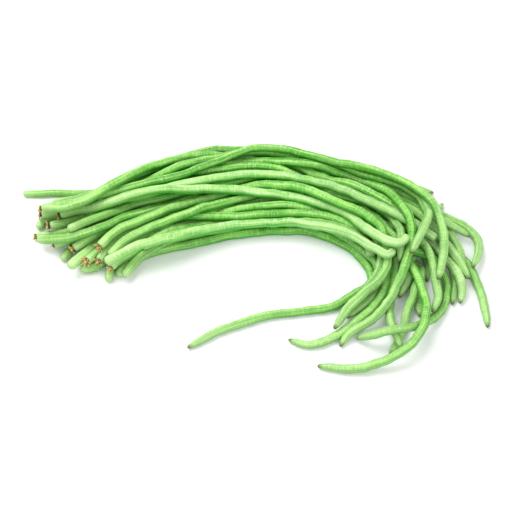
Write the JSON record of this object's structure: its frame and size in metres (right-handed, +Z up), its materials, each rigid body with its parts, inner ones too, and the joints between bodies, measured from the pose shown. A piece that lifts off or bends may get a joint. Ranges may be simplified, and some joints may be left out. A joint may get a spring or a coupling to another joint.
{
  "type": "yardlong bean bunch",
  "caption": "Loose bunch of long thin green bean pods lying flat, arched from blunt stem ends to drooping tapered tips.",
  "frame": {"origin": "on the surface the bunch lies on, under the middle of its outer box", "axes": "+X along the bunch from the stem ends to the drooping tips, +Y away from the hollow side of the arch, +Z up"},
  "size_m": [0.441, 0.2558, 0.0475],
  "materials": {
    "pod_green": "satin green bean skin, finely streaked along and across",
    "pod_pale": "paler satin green bean skin",
    "pod_deep": "deeper green bean skin",
    "calyx_brown": "dry crinkled golden-brown calyx and stalk"
  },
  "bodies": {
    "root": {"pod_01": "pod_green", "pod_02": "pod_green", "pod_03": "pod_green", "pod_04": "pod_green", "pod_05": "pod_green", "pod_06": "pod_deep", "pod_07": "pod_green", "pod_08": "pod_deep", "pod_09": "pod_green", "pod_10": "pod_green", "pod_11": "pod_green", "pod_12": "pod_green", "pod_13": "pod_pale", "pod_14": "pod_green", "pod_15": "pod_green", "pod_16": "pod_deep", "pod_17": "pod_green", "pod_18": "pod_green", "pod_19": "pod_green", "pod_20": "pod_green", "pod_21": "pod_green", "pod_22": "pod_green", "pod_23": "pod_green", "pod_24": "pod_pale", "pod_25": "pod_green", "pod_26": "pod_green", "pod_27": "pod_pale", "pod_28": "pod_green", "pod_29": "pod_green", "pod_30": "pod_green", "pod_31": "pod_pale"}
  },
  "joints": []
}
